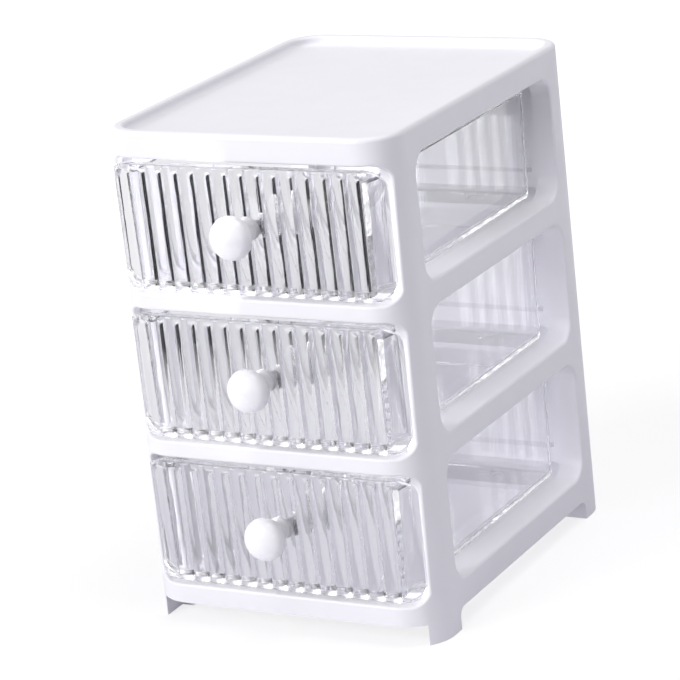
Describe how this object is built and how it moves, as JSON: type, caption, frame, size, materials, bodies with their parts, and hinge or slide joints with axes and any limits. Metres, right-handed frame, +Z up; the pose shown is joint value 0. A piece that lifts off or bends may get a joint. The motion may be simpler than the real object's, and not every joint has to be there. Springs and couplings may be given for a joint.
{
  "type": "desktop drawer organizer",
  "caption": "Desktop organizer: a white moulded frame with side windows and a tray top, holding stacked clear fluted drawers with round knobs that slide out at the front.",
  "frame": {"origin": "on the floor under the middle of the whole box, knobs included", "axes": "+Z up, drawers open towards -Y, +X to the right seen from the front"},
  "size_m": [0.1332, 0.1886, 0.2095],
  "materials": {
    "white_moulding": "satin injection moulding",
    "clear_moulding": "clear polished injection moulding",
    "white_knob": "smooth gloss moulding",
    "plated_screw": "bright zinc plating"
  },
  "bodies": {
    "frame": {"top_tray": "white_moulding", "side_frame_left": "white_moulding", "side_frame_right": "white_moulding", "front_bar_base": "white_moulding", "front_bar_middle": "white_moulding", "front_bar_upper": "white_moulding", "front_bar_head": "white_moulding", "back_panel": "white_moulding", "rear_shelf_lower": "white_moulding", "rear_shelf_middle": "white_moulding", "rear_shelf_upper": "white_moulding"},
    "lower_drawer": {"drawer_lower": "clear_moulding", "knob_lower": "white_knob", "knob_screw_lower": "plated_screw"},
    "middle_drawer": {"drawer_middle": "clear_moulding", "knob_middle": "white_knob", "knob_screw_middle": "plated_screw"},
    "upper_drawer": {"drawer_upper": "clear_moulding", "knob_upper": "white_knob", "knob_screw_upper": "plated_screw"}
  },
  "joints": [
    {"name": "lower_drawer_slide", "type": "slide", "parent": "frame", "child": "lower_drawer", "axis": [0, -1, 0], "range_m": [0, 0.11]},
    {"name": "middle_drawer_slide", "type": "slide", "parent": "frame", "child": "middle_drawer", "axis": [0, -1, 0], "range_m": [0, 0.11]},
    {"name": "upper_drawer_slide", "type": "slide", "parent": "frame", "child": "upper_drawer", "axis": [0, -1, 0], "range_m": [0, 0.11]}
  ]
}
